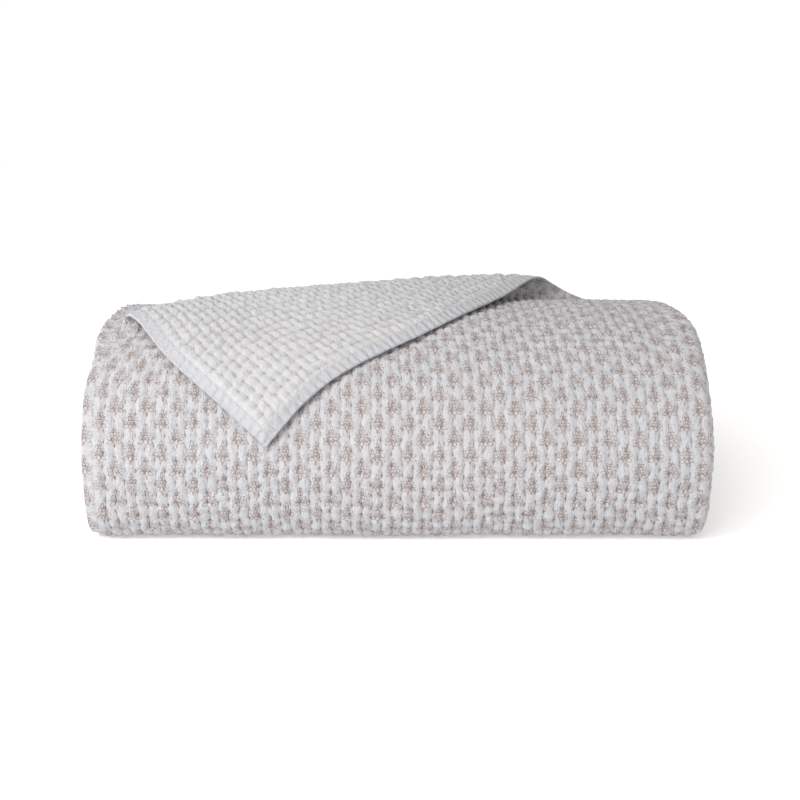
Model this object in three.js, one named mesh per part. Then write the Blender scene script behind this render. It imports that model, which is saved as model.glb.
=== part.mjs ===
// A thick hand-quilted cotton quilt, folded into a bundle with one corner of its top ply turned back.
// The cloth is one piece. It is folded in thirds across, which makes three plies, then in thirds and in
// half along, which makes six layers of those plies. Millimetres, +Z up, the front fold faces -Y, and the
// bundle rests on z = 0.

import * as THREE from 'three';

// The cloth
const PLY_THICKNESS = 12.4;
const PLY_PITCH = 15.4;
const PLIES = 3;
const LAYERS = 6;
const HEM_THICKNESS = 4.6;
const HEM_BAND = 15;
const QUILTING_PITCH = 12.7;
const QUILTING_DEPTH = 3.2;

// The bundle
const WIDTH = 787;
const RUN = 268;
const END_HEM_REACH = 30;
const SIDE_HEM_INSET = 2;
const INNER_HEM_INSET = 4;
const INNER_HEM_SETBACK = 8;
const CROWN_HEIGHT = 263;
const FRONT_OFFSET = 156;
const MIDDLE_HEIGHT = 112;

// The front fold: a long rounded shoulder above, a tight corner below
const SHOULDER_HEIGHT = 173;
const SHOULDER_DEPTH = 231;
const HEEL_DEPTH = 60;
const HEEL_POWER = 3;
const BACK_DROP = 26;
const BACK_DROP_RUN = 196;

// How the bundle sags and skews. A START is a place across or along, and a RUN the length of the change.
const LEAN = 4;
const RIGHT_END_DROP = 2;
const RIGHT_END_RUN = 50;
const LEFT_END_DROP = -6;
const LEFT_END_RUN = 50;
const END_DROP_POWER = 2.2;
const TOP_SKEW = 13;
const TOP_SKEW_START = { x: -230, y: -120 };
const TOP_SKEW_RUN = { x: 330, y: 170 };
const RIGHT_HELD_RUN = 60;
const BACK_SPREAD = 0.030;
const BACK_SPREAD_START = -140;
const BACK_SPREAD_RUN = 200;
const LEFT_HEM_SHIFT = 34;
const LEFT_HEM_RUN = 240;
const LEFT_HEM_SHIFT_START = -115;
const LEFT_HEM_SHIFT_RUN = 110;

// The turned-back corner: where its fold meets the side hem and the end hem
const FOLD_ON_SIDE_HEM = 299.5;
const FOLD_ON_END_HEM = 656;
const FOLD_ANGLE = 25.0;
const FOLD_BOW = 32;
const FOLD_BOW_START = 50;
const ROLL_RADIUS_SIDE = 10.5;
const ROLL_RADIUS_END = 22.5;
const ROLL_FLARE = 1.5;
const FLAP_GAP = 2.4;
const SETTLE_RUN_SIDE = 90;
const SETTLE_RUN_END = 42;
const HEM_TAPER = 24;

// Steps of the mesh
const REACH_STEPS = 40;
const FLAP_ROWS = 6;
const ROLL_ROWS = 6;
const TOP_ROWS = 5;
const SHOULDER_ROWS = 8;
const SHOULDER_ROWS_START = 96;
const SHOULDER_ROWS_END = 60;
const HEEL_ROW = 24;
const PLY_STEPS = 4;
const TURN_STEPS = 4;
const INNER_FLAP_STEP = 46;
const HEM_EDGE_COLUMN = 5;

const LAYER_PITCH = PLIES * PLY_PITCH;
const STACK = LAYERS * LAYER_PITCH;
const HALF = STACK / 2;
const HALF_PLY = PLY_THICKNESS / 2;
const FRONT = -FRONT_OFFSET;
const SHOULDER_BASE = CROWN_HEIGHT - SHOULDER_HEIGHT;
const CROWN_Y = FRONT + SHOULDER_DEPTH;
const FLOOR_GAP = (PLY_PITCH - PLY_THICKNESS) / 2 / HALF * MIDDLE_HEIGHT;

const smooth = (t) => {
  const c = Math.min(1, Math.max(0, t));
  return c * c * (3 - 2 * c);
};

// Across: the closed letter fold of the three plies, from the free side hem on top to the hem inside.
// x is the place across the bundle, w the height over the middle ply, nx and nw the printed side.
const RIGHT_TURN_X = WIDTH / 2 - PLY_PITCH - HALF_PLY;
const LEFT_TURN_X = -WIDTH / 2 + PLY_PITCH / 2 + HALF_PLY;
const SIDE_HEM_X = -WIDTH / 2 + SIDE_HEM_INSET;
const INNER_HEM_X = RIGHT_TURN_X - INNER_HEM_INSET;
const TOP_PLY = RIGHT_TURN_X - SIDE_HEM_X;
const RIGHT_TURN_END = TOP_PLY + Math.PI * PLY_PITCH;
const LOWER_PLY_END = RIGHT_TURN_END + RIGHT_TURN_X - LEFT_TURN_X;
const LEFT_TURN_END = LOWER_PLY_END + Math.PI * PLY_PITCH / 2;
const CLOTH_WIDTH = LEFT_TURN_END + INNER_HEM_X - LEFT_TURN_X;

function across(u) {
  if (u <= TOP_PLY) {
    return { x: SIDE_HEM_X + u, w: PLY_PITCH, nx: 0, nw: 1 };
  }
  if (u <= RIGHT_TURN_END) {
    const a = (u - TOP_PLY) / PLY_PITCH;
    const nx = Math.sin(a);
    const nw = Math.cos(a);
    return { x: RIGHT_TURN_X + PLY_PITCH * nx, w: PLY_PITCH * nw, nx, nw };
  }
  if (u <= LOWER_PLY_END) {
    return { x: RIGHT_TURN_X - (u - RIGHT_TURN_END), w: -PLY_PITCH, nx: 0, nw: -1 };
  }
  if (u <= LEFT_TURN_END) {
    const radius = PLY_PITCH / 2;
    const a = (u - LOWER_PLY_END) / radius;
    const nx = -Math.sin(a);
    const nw = -Math.cos(a);
    return { x: LEFT_TURN_X + radius * nx, w: -radius + radius * nw, nx, nw };
  }
  return { x: LEFT_TURN_X + (u - LEFT_TURN_END), w: 0, nx: 0, nw: 1 };
}

// Along: the runs and turns of the layers, from the end hem on top to the end hem inside.
// Runs give a layer, counted from the top, and turns a centre, a radius and two angles in degrees.
const layerZ = (layer) => STACK - (layer - 0.5) * LAYER_PITCH;
const PATH = [
  { layer: 1, from: RUN + END_HEM_REACH, to: 0 },
  { y: 0, z: HALF, radius: 2.5 * LAYER_PITCH, from: 90, to: 270 },
  { layer: 6, from: 0, to: RUN, steps: 2 },
  { y: RUN, z: layerZ(5), radius: LAYER_PITCH, from: -90, to: 90, steps: 5 },
  { layer: 4, from: RUN, to: 0, steps: 2 },
  { y: 0, z: HALF, radius: 0.5 * LAYER_PITCH, from: 270, to: 90, steps: 5 },
  { layer: 3, from: 0, to: RUN, steps: 2 },
  { y: RUN, z: STACK - 2 * LAYER_PITCH, radius: 0.5 * LAYER_PITCH, from: -90, to: 90, steps: 5 },
  { layer: 2, from: RUN, to: 0, steps: 2 },
  { y: 0, z: HALF, radius: 1.5 * LAYER_PITCH, from: 90, to: 270, steps: 8 },
  { layer: 5, from: 0, to: RUN - INNER_HEM_SETBACK, steps: 2 },
];
for (const piece of PATH) {
  const sweep = piece.to - piece.from;
  piece.length = piece.layer ? Math.abs(sweep) : piece.radius * Math.abs(sweep) * Math.PI / 180;
}

function along(v) {
  let index = 0;
  let rest = v;
  while (index < PATH.length - 1 && rest > PATH[index].length) {
    rest -= PATH[index].length;
    index += 1;
  }
  const piece = PATH[index];
  const sign = Math.sign(piece.to - piece.from);
  if (piece.layer) {
    return { y: piece.from + sign * rest, z: layerZ(piece.layer), ny: 0, nz: -sign };
  }
  const angle = piece.from * Math.PI / 180 + sign * rest / piece.radius;
  const cy = Math.cos(angle);
  const cz = Math.sin(angle);
  return { y: piece.y + piece.radius * cy, z: piece.z + piece.radius * cz, ny: sign * cy, nz: sign * cz };
}

// The settled bundle: the even stack of runs and half circles above is eased into its real profile.
// The middle of the front fold is at y = 0 in the stack and in the bundle.
function crownHeight(y) {
  if (y < CROWN_Y) {
    return SHOULDER_BASE + SHOULDER_HEIGHT * Math.sqrt(1 - ((CROWN_Y - y) / SHOULDER_DEPTH) ** 2);
  }
  return CROWN_HEIGHT - BACK_DROP * ((y - CROWN_Y) / BACK_DROP_RUN) ** 2;
}

function insideFront(y, z) {
  if (z >= SHOULDER_BASE) {
    return ((CROWN_Y - y) / SHOULDER_DEPTH) ** 2 + ((z - SHOULDER_BASE) / SHOULDER_HEIGHT) ** 2 < 1;
  }
  const heel = Math.max(0, FRONT + HEEL_DEPTH - y) / HEEL_DEPTH;
  return z > 0 && heel ** HEEL_POWER + ((SHOULDER_BASE - z) / SHOULDER_BASE) ** HEEL_POWER < 1
    || (z > 0 && heel === 0);
}

function frontReach(dy, dz) {
  let near = 0;
  let far = 2 * FRONT_OFFSET;
  for (let step = 0; step < REACH_STEPS; step += 1) {
    const reach = (near + far) / 2;
    if (insideFront(dy * reach, MIDDLE_HEIGHT + dz * reach)) near = reach;
    else far = reach;
  }
  return near;
}

function profile(y, z) {
  const rise = z - HALF;
  if (y < 0) {
    const radius = Math.hypot(y, rise);
    const scale = frontReach(y / radius, rise / radius) / HALF;
    return { y: y * scale, z: MIDDLE_HEIGHT + rise * scale };
  }
  const reach = rise > 0 ? crownHeight(y) - MIDDLE_HEIGHT : MIDDLE_HEIGHT;
  return { y, z: MIDDLE_HEIGHT + rise * reach / HALF };
}

function endDrop(x, drop, run) {
  return drop * Math.max(0, (x - WIDTH / 2 + run) / run) ** END_DROP_POWER;
}

function settle(x, y, z) {
  const p = profile(y, z);
  const drop = endDrop(x, RIGHT_END_DROP, RIGHT_END_RUN) + endDrop(-x, LEFT_END_DROP, LEFT_END_RUN)
    + LEAN * x / (WIDTH / 2);
  const skew = TOP_SKEW * smooth((p.y - TOP_SKEW_START.y) / TOP_SKEW_RUN.y)
    * smooth((x - TOP_SKEW_START.x) / TOP_SKEW_RUN.x) * smooth((WIDTH / 2 - x) / RIGHT_HELD_RUN);
  const spread = 1 + BACK_SPREAD * smooth((p.y - BACK_SPREAD_START) / BACK_SPREAD_RUN);
  return new THREE.Vector3((x - skew) * spread, p.y, (p.z - FLOOR_GAP) * (1 - drop / CROWN_HEIGHT));
}

// A point of the cloth: u across, v along, and rise over the middle of its thickness, printed side up
function place(u, v, rise) {
  const a = across(u);
  const g = along(v);
  const w = a.w + a.nw * rise;
  const hemShift = u < LEFT_HEM_RUN ? LEFT_HEM_SHIFT * (1 - smooth(u / LEFT_HEM_RUN)) : 0;
  const y = g.y + g.ny * w;
  const z = g.z + g.nz * w;
  const onTop = z > HALF ? smooth((y - LEFT_HEM_SHIFT_START) / LEFT_HEM_SHIFT_RUN) : 0;
  return settle(a.x + a.nx * rise + hemShift * onTop, y, z);
}

// Lengths on the top ply, measured from its end hem over the crown and the front fold
const LENGTH_STEP = 2;
const TOP_LENGTHS = [0];
const TOP_PATH_END = PATH[0].length + PATH[1].length;
for (let v = LENGTH_STEP; v <= TOP_PATH_END; v += LENGTH_STEP) {
  const step = place(TOP_PLY / 2, v, 0).distanceTo(place(TOP_PLY / 2, v - LENGTH_STEP, 0));
  TOP_LENGTHS.push(TOP_LENGTHS[TOP_LENGTHS.length - 1] + step);
}

function pathAt(s) {
  if (s <= 0) return s;
  let index = 1;
  while (index < TOP_LENGTHS.length - 1 && TOP_LENGTHS[index] < s) index += 1;
  const part = (s - TOP_LENGTHS[index - 1]) / (TOP_LENGTHS[index] - TOP_LENGTHS[index - 1]);
  return (index - 1 + part) * LENGTH_STEP;
}

const lengthAt = (v) => TOP_LENGTHS[Math.round(v / LENGTH_STEP)];

// The turned-back corner
const FOLD_SIN = Math.sin(FOLD_ANGLE * Math.PI / 180);
const FOLD_COS = Math.cos(FOLD_ANGLE * Math.PI / 180);
const rollRadius = (u) => ROLL_RADIUS_SIDE
  + (ROLL_RADIUS_END - ROLL_RADIUS_SIDE) * Math.min(1, u / FOLD_ON_END_HEM) ** ROLL_FLARE;
const rollHalf = (u) => Math.PI * rollRadius(u) / 2;

// The fold's place along the cloth: straight from the side hem to the end hem, but for a bow forwards
function foldLine(u) {
  const part = Math.min(1, Math.max(0, (u - FOLD_BOW_START) / (FOLD_ON_END_HEM - FOLD_BOW_START)));
  return FOLD_ON_SIDE_HEM * (1 - u / FOLD_ON_END_HEM) + FOLD_BOW * Math.sin(Math.PI * part) ** 2;
}

function halfThickness(u, s) {
  const edge = Math.min(u, s, CLOTH_WIDTH - u);
  return HEM_THICKNESS / 2 + (HALF_PLY - HEM_THICKNESS / 2) * smooth(edge / HEM_TAPER);
}

// A point of the cloth with its corner turned back. s is the length from the end hem on the top ply.
function clothPoint(u, s, v, rise) {
  const behind = (foldLine(u) - s) * FOLD_COS;
  const half = rollHalf(u);
  if (u > TOP_PLY || behind <= -half || s > FOLD_ON_SIDE_HEM + 2 * half) return place(u, v, rise);
  const radius = rollRadius(u);
  const turn = Math.min(Math.PI, (behind + half) / radius);
  let back = -half + radius * Math.sin(turn) - rise * Math.sin(turn);
  let height = radius * (1 - Math.cos(turn)) + rise * Math.cos(turn);
  if (behind > half) {
    const rest = HALF_PLY + FLAP_GAP + halfThickness(u, s);
    const run = SETTLE_RUN_SIDE + (SETTLE_RUN_END - SETTLE_RUN_SIDE) * Math.min(1, u / FOLD_ON_END_HEM);
    back = -behind;
    height = rest + (2 * radius - rest) * Math.exp(-(((behind - half) / run) ** 2)) - rise;
  }
  const footU = u + behind * FOLD_SIN;
  const footS = s + behind * FOLD_COS;
  return place(footU - back * FOLD_SIN, pathAt(footS - back * FOLD_COS), height);
}

// Rows of the mesh along the cloth. The first ones follow the fold of the corner, so s differs with u.
const SHOULDER_START = lengthAt(PATH[0].length + SHOULDER_ROWS_START);
const SHOULDER_END = lengthAt(TOP_PATH_END - SHOULDER_ROWS_END);
const ROWS = [];
for (let k = 0; k <= FLAP_ROWS; k += 1) {
  ROWS.push((u) => Math.max(0, (foldLine(u) - rollHalf(u) / FOLD_COS) * k / FLAP_ROWS));
}
for (let k = 1; k <= ROLL_ROWS; k += 1) {
  ROWS.push((u) => Math.max(0, foldLine(u) + rollHalf(u) / FOLD_COS * (2 * k / ROLL_ROWS - 1)));
}
for (let k = 1; k <= TOP_ROWS; k += 1) {
  ROWS.push((u) => {
    const start = Math.max(0, foldLine(u) + rollHalf(u) / FOLD_COS);
    return start + (SHOULDER_START - start) * k / TOP_ROWS;
  });
}
for (let k = 1; k <= SHOULDER_ROWS; k += 1) {
  ROWS.push(() => SHOULDER_START + (SHOULDER_END - SHOULDER_START) * k / SHOULDER_ROWS);
}
const FINE_ROWS = ROWS.length;
const LATER = [];
let travelled = TOP_PATH_END;
LATER.push(travelled - HEEL_ROW, travelled);
for (const piece of PATH.slice(2)) {
  for (let k = 1; k <= piece.steps; k += 1) LATER.push(travelled + piece.length * k / piece.steps);
  travelled += piece.length;
}
const ROW_COUNT = FINE_ROWS + LATER.length;

// Columns of the mesh across the cloth
function spread(from, to, steps) {
  return Array.from({ length: steps }, (_, k) => from + (to - from) * (k + 1) / steps);
}
const lowerColumns = [
  ...spread(RIGHT_TURN_END, LOWER_PLY_END, PLY_STEPS),
  ...spread(LOWER_PLY_END, LEFT_TURN_END, TURN_STEPS),
  ...spread(LEFT_TURN_END, CLOTH_WIDTH, PLY_STEPS),
];
const channels = Math.round((RIGHT_TURN_END - HEM_BAND) / QUILTING_PITCH) * 2;
const fineColumns = [
  0, HEM_EDGE_COLUMN, HEM_BAND, ...spread(HEM_BAND, RIGHT_TURN_END, channels), ...lowerColumns,
];
const innerColumns = [
  0, HEM_BAND, ...spread(HEM_BAND, TOP_PLY, Math.round(TOP_PLY / INNER_FLAP_STEP)),
  ...spread(TOP_PLY, RIGHT_TURN_END, TURN_STEPS), ...lowerColumns,
];
const coarseColumns = [
  0, ...spread(0, TOP_PLY, PLY_STEPS), ...spread(TOP_PLY, RIGHT_TURN_END, TURN_STEPS), ...lowerColumns,
];

// Raised quilting: the printed side dips at each stitched row, every second fine column
function printedRise(u, s, column, fine) {
  const half = halfThickness(u, s);
  const stitched = fine && u >= HEM_BAND && u <= RIGHT_TURN_END && column % 2 === 0;
  return stitched ? half - QUILTING_DEPTH * smooth((s - HEM_BAND / 2) / HEM_BAND) : half;
}

const vertices = [];
const triangles = [];
const seen = new Map();
function vertex(point) {
  const key = [point.x, point.y, point.z].map((c) => Math.round(c * 1e4)).join(' ');
  if (!seen.has(key)) {
    seen.set(key, vertices.length);
    vertices.push(point);
  }
  return seen.get(key);
}

function row(index, printed) {
  const fine = printed && index < FINE_ROWS;
  const early = index < FINE_ROWS;
  const columns = fine ? fineColumns : early ? innerColumns : coarseColumns;
  return columns.map((u, column) => {
    const s = early ? ROWS[index](Math.min(u, TOP_PLY)) : TOP_LENGTHS[TOP_LENGTHS.length - 1];
    const v = early ? pathAt(s) : LATER[index - FINE_ROWS];
    const rise = printed ? printedRise(u, s, column, fine) : -halfThickness(u, s);
    return { u, id: vertex(clothPoint(u, s, v, rise)) };
  });
}

function triangle(a, b, c) {
  if (a !== b && b !== c && a !== c) triangles.push(a, c, b);
}

// Joins two rows of points, which may have different columns
function strip(lower, upper, flip) {
  let i = 0;
  let j = 0;
  while (i < lower.length - 1 || j < upper.length - 1) {
    const stepLower = j === upper.length - 1
      || (i < lower.length - 1 && lower[i].u + lower[i + 1].u <= upper[j].u + upper[j + 1].u);
    const next = stepLower ? lower[i + 1].id : upper[j + 1].id;
    if (flip) triangle(upper[j].id, next, lower[i].id);
    else triangle(lower[i].id, next, upper[j].id);
    if (stepLower) i += 1;
    else j += 1;
  }
}

function wall(a, b, c, d) {
  triangle(a, b, c);
  triangle(a, c, d);
}

const last = (line) => line[line.length - 1].id;
const printedRows = [];
const plainRows = [];
for (let index = 0; index < ROW_COUNT; index += 1) {
  printedRows.push(row(index, true));
  plainRows.push(row(index, false));
}
for (let index = 0; index < ROW_COUNT - 1; index += 1) {
  strip(printedRows[index], printedRows[index + 1], false);
  strip(plainRows[index], plainRows[index + 1], true);
  const [printed, nextPrinted] = [printedRows[index], printedRows[index + 1]];
  const [plain, nextPlain] = [plainRows[index], plainRows[index + 1]];
  wall(printed[0].id, nextPrinted[0].id, nextPlain[0].id, plain[0].id);
  wall(last(nextPrinted), last(printed), last(plain), last(nextPlain));
}
strip(plainRows[0], printedRows[0], false);
strip(printedRows[ROW_COUNT - 1], plainRows[ROW_COUNT - 1], false);

const geometry = new THREE.BufferGeometry();
const coordinates = vertices.flatMap((p) => [p.x, p.y, p.z]);
geometry.setAttribute('position', new THREE.Float32BufferAttribute(coordinates, 3));
geometry.setIndex(triangles);
geometry.computeBoundingBox();
const { min, max } = geometry.boundingBox;
geometry.translate(0, -(min.y + max.y) / 2, -min.z);
geometry.computeVertexNormals();

const cotton = new THREE.MeshStandardMaterial({ color: 0xe4e2e3, roughness: 0.92, metalness: 0 });
const quilt = new THREE.Mesh(geometry, cotton);
quilt.name = 'quilt';

const bundle = new THREE.Group();
bundle.add(quilt);

export default bundle;
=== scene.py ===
"""Looks of a folded hand-quilted cotton quilt, in metres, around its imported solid.

The cloth is one closed sheet. It follows the same folds as the solid, with its stitched rows, puffs,
hems and threads as geometry, and with its print and weave as procedural materials.
"""

import math

import bpy
import numpy as np
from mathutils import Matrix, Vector


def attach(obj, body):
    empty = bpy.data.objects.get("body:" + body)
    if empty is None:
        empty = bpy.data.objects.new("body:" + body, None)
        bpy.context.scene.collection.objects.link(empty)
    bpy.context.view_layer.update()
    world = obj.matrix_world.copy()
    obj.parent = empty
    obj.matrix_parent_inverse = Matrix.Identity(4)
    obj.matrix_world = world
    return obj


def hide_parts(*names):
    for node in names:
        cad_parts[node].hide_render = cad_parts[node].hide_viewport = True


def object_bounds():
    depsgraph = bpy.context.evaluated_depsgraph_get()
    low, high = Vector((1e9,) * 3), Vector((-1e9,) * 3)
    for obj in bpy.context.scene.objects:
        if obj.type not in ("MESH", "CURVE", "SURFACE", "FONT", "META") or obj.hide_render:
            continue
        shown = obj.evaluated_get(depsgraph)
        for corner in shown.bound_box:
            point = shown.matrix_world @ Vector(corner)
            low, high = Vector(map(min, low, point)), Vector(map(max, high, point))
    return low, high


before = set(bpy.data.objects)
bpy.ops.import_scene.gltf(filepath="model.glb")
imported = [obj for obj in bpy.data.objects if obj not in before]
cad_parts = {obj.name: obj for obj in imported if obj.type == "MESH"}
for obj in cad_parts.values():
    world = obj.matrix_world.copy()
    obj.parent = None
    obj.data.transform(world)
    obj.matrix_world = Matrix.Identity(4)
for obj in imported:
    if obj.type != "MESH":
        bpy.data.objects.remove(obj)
cad_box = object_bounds()

# The cloth
PLY_THICKNESS = 0.0124
PLY_PITCH = 0.0154
LAYER_PITCH = 3 * PLY_PITCH
HALF_PLY = PLY_THICKNESS / 2
HEM_THICKNESS = 0.0046
HEM_BAND = 0.015
HEM_TAPER = 0.024

# The bundle
WIDTH = 0.787
RUN = 0.268
END_HEM_REACH = 0.030
SIDE_HEM_INSET = 0.002
INNER_HEM_INSET = 0.004
INNER_HEM_SETBACK = 0.008
CROWN_HEIGHT = 0.263
FRONT_OFFSET = 0.156
MIDDLE_HEIGHT = 0.112
SHOULDER_HEIGHT = 0.173
SHOULDER_DEPTH = 0.231
HEEL_DEPTH = 0.060
HEEL_POWER = 3
BACK_DROP = 0.026
BACK_DROP_RUN = 0.196

# How the bundle sags and skews. A START is a place across or along, and a RUN the length of the change.
LEAN = 0.004
RIGHT_END_DROP = 0.002
LEFT_END_DROP = -0.006
END_DROP_RUN = 0.050
END_DROP_POWER = 2.2
TOP_SKEW = 0.013
TOP_SKEW_START = (-0.230, -0.120)
TOP_SKEW_RUN = (0.330, 0.170)
RIGHT_HELD_RUN = 0.060
BACK_SPREAD = 0.030
BACK_SPREAD_START = -0.140
BACK_SPREAD_RUN = 0.200
LEFT_HEM_SHIFT = 0.034
LEFT_HEM_RUN = 0.240
LEFT_HEM_SHIFT_START = -0.115
LEFT_HEM_SHIFT_RUN = 0.110

# The turned-back corner
FOLD_ON_SIDE_HEM = 0.2995
FOLD_ON_END_HEM = 0.656
FOLD_ANGLE = math.radians(25.0)
FOLD_BOW = 0.032
FOLD_BOW_START = 0.050
ROLL_RADIUS_SIDE = 0.0105
ROLL_RADIUS_END = 0.0225
ROLL_FLARE = 1.5
FLAP_GAP = 0.0024
SETTLE_RUN_SIDE = 0.090
SETTLE_RUN_END = 0.042

# The two faces, each named by where its stitches start, as a share of their pitch
PRINTED = 0
PLAIN = 0.5

# The quilting: stitched rows run along the cloth, and each stitch pulls a dimple. A relief is how far the
# face lies down along a row, how much more in a dimple, and how far a puff's crest sinks beside it.
ROW_PITCH = 0.0127
STITCH_PITCH = 0.0142
PRINTED_RELIEF = {"row": 0.0023, "dimple": 0.0025, "crest": 0.0021}
REVERSE_RELIEF = {"row": 0.0019, "dimple": 0.0030, "crest": 0.0032}
PUFF_ROUNDNESS = 0.45
DEEPEST = 0.0055
THINNEST = 0.12
DIMPLE_LENGTH = 0.0033
QUILTING_RUN = 0.3 * HEM_BAND
ROW_WOBBLE = 0.0014
ROW_WOBBLE_LENGTH = 0.055
STITCH_WOBBLE = 0.0008
STITCH_WOBBLE_LENGTH = 0.017
PUFF_UNEVENNESS = 0.0012
PUFF_UNEVENNESS_LENGTH = 0.031
# Where a row's stitches start drifts in slow waves: their size in pitches, rate by row and phase
STITCH_DRIFTS = ((0.50, 0.23, 0.0), (0.35, 0.071, 1.3))
START_JITTER = 0.28
PLACE_JITTER = 0.24
# The outer ply is drawn tight round the right-hand turn and over the top's rim
STRETCHED_SHARE = 0.62
STRETCHED_RUN = 0.026
PUCKER_PITCH = 0.015
PUCKER_HEIGHT = 0.0009
SEAM_DEPTH = 0.0015
SEAM_WIDTH = 0.0016
SEAM_LEAST = 0.7
SEAM_GAIN = 0.6
# The bundle's weight presses the foot of the front smooth, from this far above the front's end
PRESSED_START = 0.065
PRESSED_RUN = 0.030
PRESSED_SHARE = 0.92

# Slow swells of the outer ply: their height, and for u and s their length, bend and bend's length
SWELL_HEIGHT = 0.0011
SWELL_ACROSS = (0.043, 2.1, 0.081)
SWELL_ALONG = (0.052, 1.7, 0.097)
SWELL_START = 0.6

# Irregular waves: each has its own seed, and is a long wave with a shorter one on it
ROW_SEED = 3
STITCH_SEED = 7
START_SEED = 11
PUFF_SEED = 21
SIDE_HEM_SEED = 31
END_HEM_SEED = 37
PLACE_SEED = 5
PLACE_SEED_STEP = 1.7
SCATTER_RATES = (12.9898, 78.233)
SCATTER_SIZE = 43758.5453
SHORT_WAVE_LENGTH = 0.43
LONG_WAVE_SHARE = 0.65
SHORT_WAVE_SHARE = 0.35

# The quilting thread: each stitch is a short length of it, thicker and longer on the printed face
THREAD_RADIUS = {PRINTED: 0.00075, PLAIN: 0.00060}
THREAD_LENGTH = {PRINTED: 0.0054, PLAIN: 0.0034}
THREAD_SHORTEST = 0.75
THREAD_LENGTH_SPREAD = 0.5
THREAD_RINGS = (-1.0, -0.7, 0.0, 0.7, 1.0)
THREAD_CORNERS = 3
THREAD_LIFT = 0.7
THREAD_DIP = -1.2
FIRST_STITCH = 1.3 * HEM_BAND
FLAP_STITCH_MARGIN = 0.03

# The mesh. A grid says how many columns apart its points are: where it is fine, at the turns, elsewhere.
TINY = 1e-6
WELDS_PER_METRE = 2e5
HALVINGS = 40
FRONT_PARTS = 3000
LENGTH_STEP = 0.002
TOP_STEP = 0.0031
FRONT_STEP = 0.0043
INNER_PLY_STEP = 8 * ROW_PITCH
TURN_LEAD = 0.02
TURN_MARGIN = 0.012
ROLL_MARGIN = 0.006
UNDER_ROLL_SIDE = 0.030
UNDER_ROLL_GAIN = 0.055
COVER_ROUNDS = 12
SHOWN_GRID = (1, 2, 16)
BACK_GRID = (2, 2, 32)
FLAP_GRID = (1, 4, 32)
HIDDEN_GRID = (2, 4, 48)

# The camera stands in front of the bundle and looks a little down on it
CAMERA_DISTANCE = 1.400
CAMERA_TILT = math.radians(16)
CAMERA_AIM = (0.0022, 0.1928)
CAMERA_LENS = 52.1
SENSOR_WIDTH = 36.0

STACK = 6 * LAYER_PITCH
HALF = STACK / 2
FRONT = -FRONT_OFFSET
SHOULDER_BASE = CROWN_HEIGHT - SHOULDER_HEIGHT
CROWN_Y = FRONT + SHOULDER_DEPTH
FLOOR_GAP = (PLY_PITCH - PLY_THICKNESS) / 2 / HALF * MIDDLE_HEIGHT

# Across the cloth: the three plies of a closed letter fold
RIGHT_TURN_X = WIDTH / 2 - PLY_PITCH - HALF_PLY
LEFT_TURN_X = -WIDTH / 2 + PLY_PITCH / 2 + HALF_PLY
SIDE_HEM_X = -WIDTH / 2 + SIDE_HEM_INSET
TOP_PLY = RIGHT_TURN_X - SIDE_HEM_X
RIGHT_TURN_END = TOP_PLY + math.pi * PLY_PITCH
LOWER_PLY_END = RIGHT_TURN_END + RIGHT_TURN_X - LEFT_TURN_X
LEFT_TURN_END = LOWER_PLY_END + math.pi * PLY_PITCH / 2
CLOTH_WIDTH = LEFT_TURN_END + RIGHT_TURN_X - INNER_HEM_INSET - LEFT_TURN_X


def smooth(t):
    c = np.clip(t, 0.0, 1.0)
    return c * c * (3 - 2 * c)


def across(u):
    """x, height over the middle ply and the printed side's direction, at u across the cloth."""
    right = (u - TOP_PLY) / PLY_PITCH
    small = PLY_PITCH / 2
    left = (u - LOWER_PLY_END) / small
    where = [u <= TOP_PLY, u <= RIGHT_TURN_END, u <= LOWER_PLY_END, u <= LEFT_TURN_END]
    none = np.zeros_like(u)
    x = np.select(
        where,
        [
            SIDE_HEM_X + u,
            RIGHT_TURN_X + PLY_PITCH * np.sin(right),
            RIGHT_TURN_X - (u - RIGHT_TURN_END),
            LEFT_TURN_X - small * np.sin(left),
        ],
        LEFT_TURN_X + u - LEFT_TURN_END,
    )
    w = np.select(
        where,
        [none + PLY_PITCH, PLY_PITCH * np.cos(right), none - PLY_PITCH, -small - small * np.cos(left)],
        0.0,
    )
    nx = np.select(where, [none, np.sin(right), none, -np.sin(left)], 0.0)
    nw = np.select(where, [none + 1, np.cos(right), none - 1, -np.cos(left)], 1.0)
    return x, w, nx, nw


def layer_run(layer, start, end):
    z = STACK - (layer - 0.5) * LAYER_PITCH
    return {"layer": layer, "z": z, "start": start, "end": end, "length": abs(end - start)}


def layer_turn(y, z, radius, start, end):
    turn = {"y": y, "z": z, "radius": radius, "start": math.radians(start), "end": math.radians(end)}
    turn["length"] = radius * abs(turn["end"] - turn["start"])
    return turn


# Along the cloth: the runs and turns of the six layers, from the end hem on top to the one inside
PATH = [
    layer_run(1, RUN + END_HEM_REACH, 0.0),
    layer_turn(0.0, HALF, 2.5 * LAYER_PITCH, 90, 270),
    layer_run(6, 0.0, RUN),
    layer_turn(RUN, STACK - 4.5 * LAYER_PITCH, LAYER_PITCH, -90, 90),
    layer_run(4, RUN, 0.0),
    layer_turn(0.0, HALF, 0.5 * LAYER_PITCH, 270, 90),
    layer_run(3, 0.0, RUN),
    layer_turn(RUN, STACK - 2 * LAYER_PITCH, 0.5 * LAYER_PITCH, -90, 90),
    layer_run(2, RUN, 0.0),
    layer_turn(0.0, HALF, 1.5 * LAYER_PITCH, 90, 270),
    layer_run(5, 0.0, RUN - INNER_HEM_SETBACK),
]
PATH_STARTS = np.cumsum([0.0] + [piece["length"] for piece in PATH])


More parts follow.
